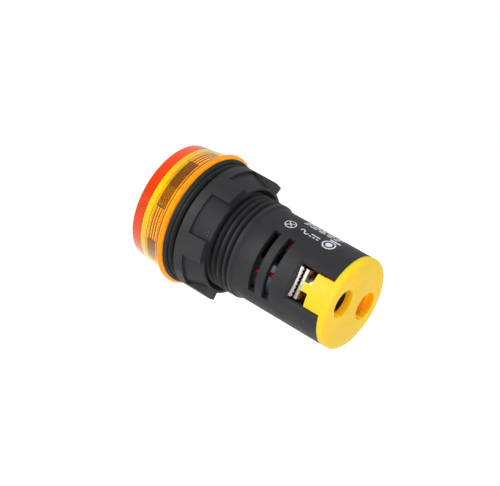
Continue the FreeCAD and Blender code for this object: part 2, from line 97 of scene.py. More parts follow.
class Sheet:
    """The node sheet of a material or of the world, laid out by short calls."""

    def __init__(self, name: str, world: bool = False) -> None:
        """Start an empty sheet.

        Args:
            name: The material's or the world's name.
            world: Whether it is the world's sheet.
        """
        self.owner = (bpy.data.worlds if world else bpy.data.materials).new(name)
        self.owner.use_nodes = True
        self.tree = self.owner.node_tree
        self.tree.nodes.clear()
        self.output = self.add("ShaderNodeOutputWorld" if world else "ShaderNodeOutputMaterial")
        self.place = None if world else self.add("ShaderNodeTexCoord").outputs["Object"]

    def add(self, kind: str, inputs: dict[Any, Any] | None = None, **settings: Any) -> Any:
        """Add one node.

        Args:
            kind: The node's type.
            inputs: Values or sockets for its inputs, by name or number.
            **settings: Its own properties.

        Returns:
            The node.
        """
        node = self.tree.nodes.new(kind)
        for key, value in settings.items():
            setattr(node, key, value)
        for key, value in (inputs or {}).items():
            self.feed(node.inputs[key], value)
        return node

    def feed(self, socket: Any, value: Any) -> None:
        """Set a socket to a value, or link it to another socket.

        Args:
            socket: The input.
            value: A number, a colour or an output socket.
        """
        if isinstance(value, bpy.types.NodeSocket):
            self.tree.links.new(value, socket)
        elif isinstance(value, tuple) and len(value) == 3 and socket.type == "RGBA":
            socket.default_value = (*value, 1.0)
        else:
            socket.default_value = value

    def noise(self, scale: float, detail: float = 2.0, vector: Any = None) -> Any:
        """Soft noise over the piece.

        Args:
            scale: Cells to the metre.
            detail: How many finer layers it has.
            vector: Coordinates other than the object's own.

        Returns:
            The value socket.
        """
        node = self.add("ShaderNodeTexNoise", {
            "Vector": vector or self.place, "Scale": scale, "Detail": detail,
        })
        return node.outputs["Fac"]

    def spread(self, value: Any, low: float, high: float,
               first: float = 0.3, last: float = 0.7) -> Any:
        """Map a value onto a new range.

        Args:
            value: The socket to map.
            low: What the first value becomes.
            high: What the last value becomes.
            first: Where the old range starts.
            last: Where the old range ends.

        Returns:
            The mapped socket.
        """
        node = self.add("ShaderNodeMapRange", {
            "Value": value, "From Min": first, "From Max": last, "To Min": low, "To Max": high,
        })
        return node.outputs["Result"]

    def math(self, operation: str, first: Any, second: Any = 0.0) -> Any:
        """One step of arithmetic.

        Args:
            operation: The operation's name.
            first: Its first value or socket.
            second: Its second value or socket.

        Returns:
            The result socket.
        """
        node = self.add("ShaderNodeMath", {0: first, 1: second}, operation=operation)
        return node.outputs[0]

    def mix(self, share: Any, first: Any, second: Any) -> Any:
        """Blend two colours.

        Args:
            share: How much of the second there is.
            first: A colour or socket.
            second: A colour or socket.

        Returns:
            The colour socket.
        """
        node = self.add("ShaderNodeMix", {"Factor": share, 6: first, 7: second},
                        data_type="RGBA")
        return node.outputs[2]

    def specks(self, scale: float, size: float, empty: float = 0.8) -> Any:
        """Small scattered specks, such as dust.

        Args:
            scale: Cells to the metre.
            size: A speck's radius as a share of its cell.
            empty: The share of cells without a speck.

        Returns:
            A socket that is 1 on a speck and 0 elsewhere.
        """
        cells = self.add("ShaderNodeTexVoronoi", {"Vector": self.place, "Scale": scale})
        near = self.math("LESS_THAN", cells.outputs["Distance"], size)
        draw = self.add("ShaderNodeSeparateColor", {"Color": cells.outputs["Color"]})
        return self.math("MULTIPLY", near, self.math("GREATER_THAN", draw.outputs[0], empty))

    def relief(self, height: Any, depth: float, strength: float = 1.0) -> Any:
        """Surface relief from a height.

        Args:
            height: The height socket.
            depth: Its depth in metres.
            strength: How strongly it shows.

        Returns:
            The normal socket.
        """
        node = self.add("ShaderNodeBump", {
            "Height": height, "Distance": depth, "Strength": strength,
        })
        return node.outputs["Normal"]

    def surface(self, inputs: dict[str, Any], kind: str = "ShaderNodeBsdfPrincipled") -> Any:
        """Put a shader on the output.

        Args:
            inputs: Values or sockets for the shader.
            kind: The shader's type.

        Returns:
            The finished material or world.
        """
        shader = self.add(kind, inputs)
        self.tree.links.new(shader.outputs[0], self.output.inputs["Surface"])
        return self.owner


@dataclass(frozen=True)
class Moulded:
    """Moulded opaque plastic with a fine satin skin, uneven sheen and a little dust.

    What lies ahead of a given place along Y may take another colour, painted light: the warm
    glow that the lens throws on the black drum under it. Recesses that ambient occlusion finds
    may take a deeper colour and glow with it, as painted bounce light.
    """

    CLOUDS = 140.0
    SPOTS = 420.0
    GRAINS = 7000.0
    DUST_CELLS = 620.0
    DUST_SIZE = 0.06
    DUST_COLOUR = (0.6, 0.6, 0.6)
    GLOW_REACH = (1.0, 0.45, 0.08)
    HOLLOW_REACH = 6 * MM
    HOLLOW_DEEP = 0.3
    HOLLOW_OPEN = 0.8

    name: str
    dark: Colour
    light: Colour
    smooth: float = 0.42
    rough: float = 0.55
    grain: float = 0.000012
    dust: float = 0.0
    glow: float = 0.0
    glow_depth: float = 0.0009
    sheen: float = 0.5
    fronts: Colour | None = None
    fronts_end: float = -1.75
    hollows: Colour | None = None
    hollow_light: float = 0.4

    def build(self) -> Any:
        """Make the material.

        Returns:
            The material.
        """
        sheet = Sheet(self.name)
        clouds = sheet.noise(self.CLOUDS, 3.0)
        colour = sheet.mix(sheet.spread(clouds, 0.0, 1.0), self.dark, self.light)
        # Painted light: the warm glow that the lens throws on the black drum, ahead of a place
        # along Y.
        if self.fronts:
            split = sheet.add("ShaderNodeSeparateXYZ", {"Vector": sheet.place})
            ahead = sheet.math("LESS_THAN", split.outputs[1], self.fronts_end * MM)
            colour = sheet.mix(ahead, colour, self.fronts)
        if self.dust:
            speck = sheet.specks(self.DUST_CELLS, self.DUST_SIZE)
            dusty = sheet.math("MULTIPLY", speck, self.dust)
            colour = sheet.mix(dusty, colour, self.DUST_COLOUR)
        grains = sheet.noise(self.GRAINS, 3.0)
        lit: dict[str, Any] = {}
        # Painted bounce light: recesses that ambient occlusion finds take a deeper colour and
        # glow with it.
        if self.hollows:
            sky = sheet.add("ShaderNodeAmbientOcclusion", {"Distance": self.HOLLOW_REACH})
            deep = sheet.spread(sky.outputs["AO"], 1.0, 0.0, self.HOLLOW_DEEP, self.HOLLOW_OPEN)
            colour = sheet.mix(deep, colour, self.hollows)
            lit = {
                "Emission Color": self.hollows,
                "Emission Strength": sheet.math("MULTIPLY", deep, self.hollow_light),
            }
        return sheet.surface(lit | {
            "Base Color": colour,
            "Roughness": sheet.spread(sheet.noise(self.SPOTS, 3.0), self.smooth, self.rough),
            "Normal": sheet.relief(grains, self.grain),
            "Specular IOR Level": self.sheen,
            "Subsurface Weight": self.glow,
            "Subsurface Radius": self.GLOW_REACH,
            "Subsurface Scale": self.glow_depth,
        })


@dataclass(frozen=True)
class Clear:
    """Clear tinted plastic whose colour deepens with the length of the light's path."""

    RIPPLES = 260.0
    RIPPLE_DEPTH = 0.00002
    RIPPLE_STRENGTH = 0.35
    SPOTS = 900.0

    name: str
    tint: Colour
    density: float
    index: float = 1.49
    mirrored: Colour = (1.0, 0.5, 0.12)

    def build(self) -> Any:
        """Make the material.

        Returns:
            The material.
        """
        sheet = Sheet(self.name)
        ripple = sheet.relief(sheet.noise(self.RIPPLES), self.RIPPLE_DEPTH,
                              self.RIPPLE_STRENGTH)
        material = sheet.surface({
            "Base Color": (1.0, 1.0, 1.0),
            "Roughness": sheet.spread(sheet.noise(self.SPOTS), 0.02, 0.07),
            "IOR": self.index,
            "Specular Tint": self.mirrored,
            "Transmission Weight": 1.0,
            "Normal": ripple,
        })
        depth = sheet.add("ShaderNodeVolumeAbsorption",
                          {"Color": self.tint, "Density": self.density})
        sheet.tree.links.new(depth.outputs["Volume"], sheet.output.inputs["Volume"])
        return material


@dataclass(frozen=True)
class Plated:
    """Stamped and plated metal with fine rolling lines."""

    LINES = 500.0
    STRETCH = (1.0, 14.0, 9.0)
    LINE_DEPTH = 0.000006

    name: str
    colour: Colour
    shade: Colour
    smooth: float = 0.18
    rough: float = 0.34

    def build(self) -> Any:
        """Make the material.

        Returns:
            The material.
        """
        sheet = Sheet(self.name)
        drawn = sheet.add("ShaderNodeMapping", {"Vector": sheet.place, "Scale": self.STRETCH})
        lines = sheet.noise(self.LINES, 4.0, drawn.outputs["Vector"])
        return sheet.surface({
            "Base Color": sheet.mix(sheet.spread(lines, 0.0, 1.0, 0.35, 0.65),
                                    self.shade, self.colour),
            "Metallic": 1.0,
            "Roughness": sheet.spread(lines, self.smooth, self.rough),
            "Normal": sheet.relief(lines, self.LINE_DEPTH),
        })


@dataclass(frozen=True)
class Board:
    """Lacquered circuit board with faint tracks under the lacquer."""

    TRACKS = 180.0
    TRACK_WIDTH = 0.03
    TRACK_DEPTH = 0.00003
    SPOTS = 900.0

    name: str
    lacquer: Colour
    track: Colour

    def build(self) -> Any:
        """Make the material.

        Returns:
            The material.
        """
        sheet = Sheet(self.name)
        flat = sheet.add("ShaderNodeMapping", {
            "Vector": sheet.place, "Rotation": (math.radians(90), 0.0, 0.0),
        })
        tracks = sheet.add("ShaderNodeTexBrick", {
            "Vector": flat.outputs["Vector"],
            "Scale": self.TRACKS, "Mortar Size": self.TRACK_WIDTH, "Mortar Smooth": 0.2,
        })
        colour = sheet.mix(tracks.outputs["Fac"], self.lacquer, self.track)
        return sheet.surface({
            "Base Color": colour,
            "Roughness": sheet.spread(sheet.noise(self.SPOTS), 0.25, 0.4),
            "Normal": sheet.relief(tracks.outputs["Fac"], self.TRACK_DEPTH),
        })


@dataclass(frozen=True)
class Banded:
    """Lacquered rod with colour bands round it along one axis, placed in millimetres."""

    SPOTS = 1200.0
    GRAINS = 1800.0
    GRAIN_DEPTH = 0.00002

    name: str
    lacquer: Colour
    bands: tuple[Colour, ...]
    axis: int
    first: float
    step: float
    width: float

    def build(self) -> Any:
        """Make the material.

        Returns:
            The material.
        """
        sheet = Sheet(self.name)
        split = sheet.add("ShaderNodeSeparateXYZ", {"Vector": sheet.place})
        along = split.outputs[self.axis]
        colour: Any = self.lacquer
        for number, band in enumerate(self.bands):
            middle = (self.first + self.step * number) * MM
            off = sheet.math("ABSOLUTE", sheet.math("SUBTRACT", along, middle))
            inside = sheet.math("LESS_THAN", off, self.width * MM / 2)
            colour = sheet.mix(inside, colour, band)
        return sheet.surface({
            "Base Color": colour,
            "Roughness": sheet.spread(sheet.noise(self.SPOTS), 0.22, 0.4),
            "Normal": sheet.relief(sheet.noise(self.GRAINS), self.GRAIN_DEPTH),
        })


FINISHES = {
    # The drum under the lens is painted warm brown: painted light from the lens on black
    # plastic.
    "housing": Moulded("housing_black", (0.016, 0.016, 0.018), (0.024, 0.024, 0.027),
                       0.46, 0.58, dust=0.35, sheen=0.2, fronts=(0.16, 0.055, 0.05)),
    "nut": Moulded("nut_black", (0.018, 0.018, 0.021), (0.027, 0.027, 0.031),
                   0.46, 0.6, dust=0.25, sheen=0.2),
    "gasket": Moulded("gasket_rubber", (0.015, 0.015, 0.016), (0.022, 0.022, 0.024),
                      0.5, 0.72, grain=0.00002, dust=0.3, sheen=0.25),
    # The cover's recesses, its holes among them, take painted orange bounce light and glow with
    # it.
    "cover": Moulded("cover_yellow", (0.99, 0.56, 0.008), (1.0, 0.6, 0.012),
                     0.34, 0.46, grain=0.000006, glow=0.8, glow_depth=0.003, sheen=0.3,
                     hollows=(1.0, 0.42, 0.002), hollow_light=0.5),
    "lens": Clear("lens_amber", (0.996, 0.94, 0.0), 1900.0),
    # The diffuser's recesses glow with painted warm light.
    "diffuser": Moulded("diffuser_milky", (0.98, 0.72, 0.06), (1.0, 0.78, 0.1),
                        0.4, 0.55, glow=0.3, hollows=(1.0, 0.72, 0.02), hollow_light=0.15),
    # The foot and lip edge bands sit inside the clear lens, so they glow all over with painted
    # orange light.
    "foot": Moulded("foot_orange", (0.98, 0.42, 0.03), (1.0, 0.5, 0.05), 0.4, 0.55,
                    glow=0.3, hollows=(1.0, 0.45, 0.02)),
    "lip": Moulded("lip_deep_orange", (0.9, 0.24, 0.01), (0.96, 0.3, 0.02), 0.4, 0.55,
                   hollows=(1.0, 0.28, 0.0)),
    # The beds glow strongly with painted orange light, inside the clear lens.
    "bed": Moulded("bed_orange", (0.98, 0.42, 0.03), (1.0, 0.5, 0.05), 0.4, 0.55,
                   hollows=(1.0, 0.4, 0.02), hollow_light=0.9),
    # The ribs are real, but their dark brown is painted shade for the grooves between them; the
    # seam and lip lines share this colour.
    "ribs": Moulded("rib_brown", (0.07, 0.02, 0.004), (0.12, 0.04, 0.008), 0.35, 0.5),
    "print": Moulded("print_white", (0.5, 0.56, 0.62), (0.68, 0.74, 0.8), 0.5, 0.65),
    "nickel": Plated("nickel_plate", (0.42, 0.41, 0.38), (0.2, 0.18, 0.15), 0.24, 0.42),
    "zinc": Plated("zinc_screw", (0.68, 0.69, 0.71), (0.5, 0.51, 0.53), 0.2, 0.38),
    "tin": Plated("tinned_pin", (0.78, 0.77, 0.72), (0.66, 0.65, 0.6)),
    "lamp_board": Board("lamp_board_white", (0.82, 0.82, 0.79), (0.7, 0.68, 0.6)),
    "driver_board": Board("driver_board_green", (0.01, 0.05, 0.022), (0.03, 0.1, 0.045)),
    "chip": Moulded("chip_yellow", (0.85, 0.62, 0.12), (0.95, 0.74, 0.2), 0.3, 0.4),
    "film": Moulded("film_resin", (0.16, 0.21, 0.28), (0.24, 0.30, 0.38), 0.3, 0.42),
    "sleeve": Moulded("sleeve_dark", (0.012, 0.014, 0.03), (0.025, 0.028, 0.05), 0.3, 0.4),
    "package": Moulded("package_black", (0.012, 0.012, 0.012), (0.024, 0.024, 0.024)),
    "dropper": Banded("dropper_bands", (0.16, 0.34, 0.40),
                      ((0.35, 0.05, 0.02), (0.02, 0.02, 0.02), (0.55, 0.3, 0.02)),
                      1, 16.2, 1.5, 0.6),
    "bleed": Banded("bleed_bands", (0.32, 0.04, 0.03),
                    ((0.5, 0.3, 0.04), (0.03, 0.03, 0.03), (0.5, 0.3, 0.04)),
                    0, 1.2, 1.1, 0.45),
    "wire_red": Moulded("wire_red", (0.42, 0.02, 0.015), (0.55, 0.03, 0.02), 0.3, 0.4),
    "wire_black": Moulded("wire_black", (0.012, 0.012, 0.013), (0.02, 0.02, 0.022), 0.3, 0.4),
}


# Modelling


def rounded(corners: Sequence[Corner], closed: bool = False) -> list[Point]:
    """Turn corners with radii into the points of an outline.

    Args:
        corners: Each corner as (across, along), with its rounding radius if it has one.
        closed: Whether the last corner joins the first.

    Returns:
        The outline's points.
    """
    points: list[Point] = []
    count = len(corners)
    for number, (across, along, *radius) in enumerate(corners):
        if not radius or (not closed and number in (0, count - 1)):
            points.append((across, along))
            continue
        here = Vector((across, along))
        before = (Vector(corners[number - 1][:2]) - here).normalized()
        after = (Vector(corners[(number + 1) % count][:2]) - here).normalized()
        half = before.angle(after) / 2
        back = radius[0] / math.tan(half)
        centre = here + (before + after).normalized() * (radius[0] / math.sin(half))
        start = here + before * back - centre
        sweep = start.angle_signed(here + after * back - centre)
        for step in range(CORNER_STEPS + 1):
            turn = Matrix.Rotation(-sweep * step / CORNER_STEPS, 2)
            points.append(tuple(centre + turn @ start))
    return points


def select_none() -> None:
    """Deselect everything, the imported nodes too."""
    if bpy.context.object and bpy.context.object.mode != "OBJECT":
        bpy.ops.object.mode_set(mode="OBJECT")
    bpy.ops.object.select_all(action="DESELECT")


def make_active(piece: Any) -> None:
    """Select one object alone.

    Args:
        piece: The object.
    """
    select_none()
    piece.select_set(True)
    bpy.context.view_layer.objects.active = piece


@contextmanager
def editing(piece: Any, mode: str = "VERT") -> Iterator[None]:
    """Hold a piece in edit mode for some steps, with everything selected at first.

    Args:
        piece: The object to edit.
        mode: What is picked: VERT, EDGE or FACE.

    Yields:
        Nothing, while the steps run.
    """
    make_active(piece)
    bpy.ops.object.mode_set(mode="EDIT")
    bpy.ops.mesh.select_mode(type=mode)
    bpy.ops.mesh.select_all(action="SELECT")
    yield
    bpy.ops.object.mode_set(mode="OBJECT")


def turn_outward(piece: Any, fill: bool = False) -> None:
    """Merge doubles and make every face point outwards.

    Args:
        piece: The object.
        fill: Whether its open edge loops are filled too.
    """
    with editing(piece):
        bpy.ops.mesh.remove_doubles(threshold=MERGE)
        bpy.ops.mesh.dissolve_degenerate(threshold=MERGE / 10)
        if fill:
            bpy.ops.mesh.select_all(action="DESELECT")
            bpy.ops.mesh.select_non_manifold()
            bpy.ops.mesh.fill_holes(sides=0)
        bpy.ops.mesh.select_all(action="SELECT")
        bpy.ops.mesh.normals_make_consistent(inside=False)


def turn_mesh(piece: Any, degrees: float) -> None:
    """Turn a mesh about Y.

    Args:
        piece: The object.
        degrees: How far, from +X towards +Z.
    """
    if degrees:
        piece.data.transform(Matrix.Rotation(math.radians(-degrees), 4, "Y"))
        piece.data.update()


def draw_chain(name: str, points: Sequence[Point], closed: bool) -> Any:
    """Draw a chain of edges in the XY plane by extruding one vertex along it.

    Args:
        name: The object's name.
        points: The chain's points.
        closed: Whether the last point joins the first.

    Returns:
        The object.
    """
    select_none()
    bpy.ops.mesh.primitive_plane_add(size=1.0)
    piece = bpy.context.object
    piece.name = name
    with editing(piece):
        bpy.ops.mesh.merge(type="CENTER")
        bpy.ops.transform.translate(value=(*points[0], 0))
        for last, following in zip(points, points[1:]):
            move = (following[0] - last[0], following[1] - last[1], 0)
            bpy.ops.mesh.extrude_region_move(TRANSFORM_OT_translate={"value": move})
    if closed:
        ends = {0, len(piece.data.vertices) - 1}
        for vertex in piece.data.vertices:
            vertex.select = vertex.index in ends
        for edge in piece.data.edges:
            edge.select = False
        bpy.ops.object.mode_set(mode="EDIT")
        bpy.ops.mesh.edge_face_add()
        bpy.ops.object.mode_set(mode="OBJECT")
    return piece


def spun(name: str, corners: Sequence[Corner], closed: bool = False,
         angle: float = 360.0, start: float = 0.0, steps: int = ROUND_STEPS) -> Any:
    """Turn an outline about Y.

    Args:
        name: The object's name.
        corners: The outline as (radius, place along Y) and maybe a rounding radius.
        closed: Whether the outline closes on itself, as a ring's does.
        angle: How far it turns, in degrees.
        start: Where it starts, in degrees from +X towards +Z.
        steps: Steps in the turn.

    Returns:
        The object, in millimetres.
    """
    piece = draw_chain(name, rounded(corners, closed), closed)
    whole = angle >= 360.0
    with editing(piece):
        if not whole:
            bpy.ops.mesh.edge_face_add()
        bpy.ops.mesh.spin(steps=steps, angle=math.radians(angle), center=(0, 0, 0),
                          axis=(0, 1, 0))
    turn_outward(piece, fill=not whole)
    turn_mesh(piece, start)
    return piece


def plain_ring(name: str, ring: Ring, angle: float = 360.0, start: float = 0.0,
               steps: int = ROUND_STEPS) -> Any:
    """A ring about Y with a square section, or a sector of one.

    Args:
        name: The object's name.
        ring: Its inner radius, outer radius, front and rear.
        angle: How far it turns, in degrees.
        start: Where it starts, in degrees from +X towards +Z.
        steps: Steps in the turn.

    Returns:
        The object, in millimetres.
    """
    inner, outer, front, rear = ring
    return spun(name, [
        (inner, front), (outer, front), (outer, rear), (inner, rear),
    ], closed=True, angle=angle, start=start, steps=steps)


def block(name: str, low: Sequence[float], high: Sequence[float], edge: float) -> Any:
    """A block between two corners, with rounded edges.

    Args:
        name: The object's name.
        low: Its lowest corner.
        high: Its highest corner.
        edge: How far its edges are rounded.

    Returns:
        The object, in millimetres.
    """
    select_none()
    bpy.ops.mesh.primitive_cube_add(size=1.0)
    piece = bpy.context.object
    piece.name = name
    middle = [(a + b) / 2 for a, b in zip(low, high)]
    size = [b - a for a, b in zip(low, high)]
    piece.data.transform(Matrix.Translation(middle) @ Matrix.Diagonal((*size, 1.0)))
    with editing(piece, "EDGE"):
        bpy.ops.mesh.bevel(offset=edge, segments=2, affect="EDGES")
    return piece


def apply_modifier(piece: Any, kind: str, **settings: Any) -> None:
    """Add a modifier and apply it.

    Args:
        piece: The object.
        kind: The modifier's type.
        **settings: Its properties.
    """
    make_active(piece)
    bpy.ops.object.modifier_add(type=kind)
    modifier = piece.modifiers[-1]
    for key, value in settings.items():
        setattr(modifier, key, value)
    bpy.ops.object.modifier_apply(modifier=modifier.name)


def combine(piece: Any, tool: Any, cut: Cut) -> None:
    """Cut a tool from a piece, or join it on, and drop the tool."""
    apply_modifier(piece, "BOOLEAN", object=tool, operation=cut.value, solver="EXACT")
    bpy.data.objects.remove(tool)


def soften(piece: Any, width: float, segments: int = 2) -> None:
    """Round every sharp edge."""
    apply_modifier(piece, "BEVEL", width=width, segments=segments, limit_method="ANGLE",
                   angle_limit=SHARP_ANGLE, use_clamp_overlap=True)


def join_all(name: str, parts: Sequence[Any]) -> Any:
    """Join objects into one.

    Args:
        name: The joined object's name.
        parts: The objects.

    Returns:
        The joined object.
    """
    make_active(parts[0])
    for part in parts:
        part.select_set(True)
    bpy.ops.object.join()
    parts[0].name = name
    return parts[0]


@dataclass(frozen=True)
class Workshop:
    """What every sub-assembly is built with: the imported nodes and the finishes."""

    nodes: dict[str, Any]
    finishes: dict[str, Any]

    def copy_of(self, name: str, node: str) -> Any:
        """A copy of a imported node's mesh, merged, with its flat faces whole.

        Args:
            name: The new object's name.
            node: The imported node's name.

        Returns:
            The object, in millimetres.
        """
        piece = bpy.data.objects.new(name, self.nodes[node].data.copy())
        bpy.context.scene.collection.objects.link(piece)
        piece.data.materials.clear()
        piece.data.transform(Matrix.Scale(1 / MM, 4))
        with editing(piece):
            bpy.ops.mesh.customdata_custom_splitnormals_clear()
            bpy.ops.mesh.remove_doubles(threshold=MERGE)
            bpy.ops.mesh.dissolve_limited(angle_limit=FLAT_ANGLE)
        return piece

    def hand_over(self, piece: Any, body: Body, slot: str, finish: str, *nodes: str) -> None:
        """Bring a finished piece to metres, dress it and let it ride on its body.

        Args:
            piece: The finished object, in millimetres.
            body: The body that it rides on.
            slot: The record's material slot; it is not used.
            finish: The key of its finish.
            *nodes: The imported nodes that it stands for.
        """
        make_active(piece)
        bpy.ops.object.transform_apply(location=True, rotation=True, scale=True)
        piece.data.transform(Matrix.Scale(MM, 4))
        piece.data.update()
        piece.data.materials.clear()
        piece.data.materials.append(self.finishes[finish])
        make_active(piece)
        bpy.ops.object.shade_smooth_by_angle(angle=SMOOTH_ANGLE)
        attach(piece, body.value)
        if nodes:
            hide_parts(*nodes)
        LOG.info("%s: %d faces on %s", piece.name, len(piece.data.polygons), body.value)


# Sub-assemblies


@dataclass
class Thread:
    """A screw thread about Y, cut as a helix."""

    pitch: float = 1.5
    width: float = 1.15
    depth: float = 0.85
    floor_share: float = 0.12
    over: float = 0.25
    crest: float = 10.9
    first: float = 2.6
    turns: int = 7
    steps: int = 96
    start: float = 180.0
    run_out: float = 0.3

    def cutter(self, name: str, inside: bool = False) -> Any:
        """Make the solid that cuts the groove, shallow at both ends.

        Args:
            name: The object's name.
            inside: Whether the thread is inside a bore.

        Returns:
            The cutter, in millimetres.
        """
        sign = -1.0 if inside else 1.0
        half = self.width / 2
        floor = half * self.floor_share
        clear = self.crest + sign * self.over
        root = self.crest - sign * self.depth
        corners = [
            (root, self.first - floor), (self.crest, self.first - half),
            (clear, self.first - half), (clear, self.first + half),
            (self.crest, self.first + half), (root, self.first + floor),
        ]
        piece = draw_chain(name, corners, True)
        steps = self.steps * self.turns
        apply_modifier(piece, "SCREW", axis="Y", screw_offset=self.pitch * self.turns,
                       angle=math.tau * self.turns, iterations=1, steps=steps,
                       render_steps=steps, use_merge_vertices=False)
        turn_outward(piece, fill=True)
        for vertex in piece.data.vertices:
            gone = (vertex.co.y - self.first) / self.pitch
            deep = min(gone, self.turns - gone) / self.run_out
            reach = math.hypot(vertex.co.x, vertex.co.z)
            grown = 1.0 + sign * self.depth * (1.0 - min(max(deep, 0.0), 1.0)) / reach
            vertex.co.x *= grown
            vertex.co.z *= grown
        turn_mesh(piece, self.start)
        return piece


@dataclass
class Housing:
    """The black moulding: drum, flange, threaded barrel, slotted body and its print.

    A mark's place is how far back it is along Y and its angle from +X towards +Z.
    """

    edge: float = 0.11
    radius: float = 10.35
    root: float = 0.4
    crest: float = 10.9
    thread_start: float = 1.9
    thread_lead: float = 0.6
    thread_end: float = 13.45
    thread_tail: float = 0.75
    thread_sink: float = 0.1
    flange_front: float = -1.79
    flange_ridge: float = -1.3
    flange_rear: float = -0.91
    flange_core: float = 13.0
    flange_radius: float = 14.2
    flange_reach: float = 14.62
    tongue_gap: float = 35.0
    tongue_gap_centre: float = -18.5
    print_height: float = 0.02
    lamp_mark: Point = (19.4, 60.5)
    wave_mark: Point = (23.0, 61.0)
    dash_mark: Point = (25.6, 61.0)
    target_mark: Point = (29.2, 61.5)
    tick_mark: Point = (29.4, 72.6)
    rows_start: Point = (20.6, 78.5)
    row_step: float = 4.4
    word_gap: float = 0.45

    def build(self, shop: Workshop) -> None:
        """Model the housing and its print.

        Args:
            shop: The workshop.
        """
        shell = shop.copy_of("housing_shell", "housing")
        combine(shell, self.blank(), Cut.JOIN)
        combine(shell, self.flange_edge(), Cut.JOIN)
        combine(shell, Thread().cutter("barrel_thread"), Cut.TAKE_AWAY)
        soften(shell, self.edge)
        shop.hand_over(shell, Body.ROOT, "housing_black", "housing", "housing")
        self.print_marks(shop)

    def blank(self) -> Any:
        """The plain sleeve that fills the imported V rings, for the true thread.

        Returns:
            The sleeve, in millimetres.
        """
        end = self.thread_end + self.thread_tail
        return spun("thread_blank", [
            (self.radius - self.root, self.thread_start), (self.radius, self.thread_start),
            (self.crest, self.thread_start + self.thread_lead), (self.crest, self.thread_end),
            (self.radius - self.thread_sink, end), (self.radius - self.root, end),
        ], closed=True)

    def flange_edge(self) -> Any:
        """The flange's rounded edge, which stands a little way under the lens lip.

        Returns:
            The ring, in millimetres.
        """
        return spun("flange_edge", [
            (self.flange_core, self.flange_front), (self.flange_reach, self.flange_front, 0.1),
            (self.flange_reach, self.flange_ridge, 0.2),
            (self.flange_radius, self.flange_rear, 0.15), (self.flange_core, self.flange_rear),
        ], closed=True)

    def lay(self, piece: Any, place: Point, shift: Point = (0.0, 0.0)) -> Any:
        """Lay a flat mark on the body.

        Args:
            piece: The mark, drawn in the XY plane about its middle.
            place: Where its middle is, along Y and round the body in degrees.
            shift: How far it is off that place, along Y and round.

        Returns:
            The mark.
        """
        along, angle = place
        piece.data.transform(Matrix.Translation((*shift, 0.0)))
        for vertex in piece.data.vertices:
            across, up, lift = vertex.co
            turn = math.radians(angle) + up / self.radius
            reach = self.radius + lift
            vertex.co = (reach * math.cos(turn), along + across, reach * math.sin(turn))
        piece.data.update()
        return piece

    def bar(self, length: float, height: float, turn: float = 0.0) -> Any:
        """A plain printed bar about the origin.

        Args:
            length: Its length along Y, once it is laid.
            height: Its height round the body.
            turn: How far it is turned, in degrees.

        Returns:
            The bar.
        """
        piece = block("bar", (-length / 2, -height / 2, -self.print_height),
                      (length / 2, height / 2, self.print_height), 0.008)
        with editing(piece):
            bpy.ops.mesh.subdivide(number_cuts=3)
        piece.data.transform(Matrix.Rotation(math.radians(turn), 4, "Z"))
        return piece

    def ring(self, outer: float, line: float, angle: float = 360.0, turn: float = 0.0) -> Any:
        """A plain printed ring about the origin, or a part of one.

        Args:
            outer: Its outer radius.
            line: Its line's width.
            angle: How far it goes round, in degrees.
            turn: How far it is turned, in degrees.

        Returns:
            The ring.
        """
        piece = plain_ring("ring", (outer - line, outer, -self.print_height, self.print_height),
                           angle, turn, round(angle / 7.5))
        piece.data.transform(Matrix.Rotation(math.radians(90), 4, "X"))
        return piece

    def print_marks(self, shop: Workshop) -> None:
        """Print plain marks along one side of the body.

        Args:
            shop: The workshop.
        """
        marks = [
            self.lay(self.ring(1.3, 0.2), self.lamp_mark),
            self.lay(self.bar(2.1, 0.2, 45.0), self.lamp_mark),
            self.lay(self.bar(2.1, 0.2, -45.0), self.lamp_mark),
            self.lay(self.ring(0.62, 0.26, 180.0, 180.0), self.wave_mark, (-0.5, 0.0)),
            self.lay(self.ring(0.62, 0.26, 180.0), self.wave_mark, (0.5, 0.0)),
            self.lay(self.bar(2.3, 0.28), self.dash_mark, (0.0, 0.4)),
            *(self.lay(self.bar(0.5, 0.28), self.dash_mark, (side, -0.4))
              for side in (-0.9, 0.0, 0.9)),
            self.lay(self.ring(1.5, 0.3), self.target_mark),
            self.lay(self.ring(0.75, 0.72), self.target_mark),
            self.lay(self.bar(2.6, 0.5), self.tick_mark),
        ]
        for row in range(4):
            along, angle = self.rows_start
            for word in range(5):
                length = 1.0 + 0.9 * ((word * 7 + row * 5) % 4) / 3
                middle = (along + length / 2, angle + self.row_step * row)
                marks.append(self.lay(self.bar(length, 0.34), middle))
                along += length + self.word_gap
        piece = join_all("housing_print", marks)
        turn_outward(piece)
        shop.hand_over(piece, Body.ROOT, "white_lacquer", "print")


@dataclass
class Lens:
    """The amber lens: a thick face, a flared wall and a lip over the flange."""

    front: float = -11.5
    face_rear: float = -9.0
    front_radius: float = 13.5
    root_radius: float = 14.7
    bore: float = 12.75
    lip_front: float = -2.75
    lip_radius: float = 15.3
    rear: float = -1.83

    def build(self, shop: Workshop) -> None:
        """Model the lens.

        Args:
            shop: The workshop.
        """
        lens = spun("lens_cap", [
            (0.0, self.front), (self.front_radius, self.front, 0.3),
            (self.root_radius, self.lip_front, 0.15), (self.lip_radius, self.lip_front, 0.3),
            (self.lip_radius, self.rear, 0.55), (self.bore, self.rear, 0.05),
            (self.bore, self.face_rear, 0.2), (0.0, self.face_rear),
        ])
        shop.hand_over(lens, Body.ROOT, "lens_amber", "lens", "lens")


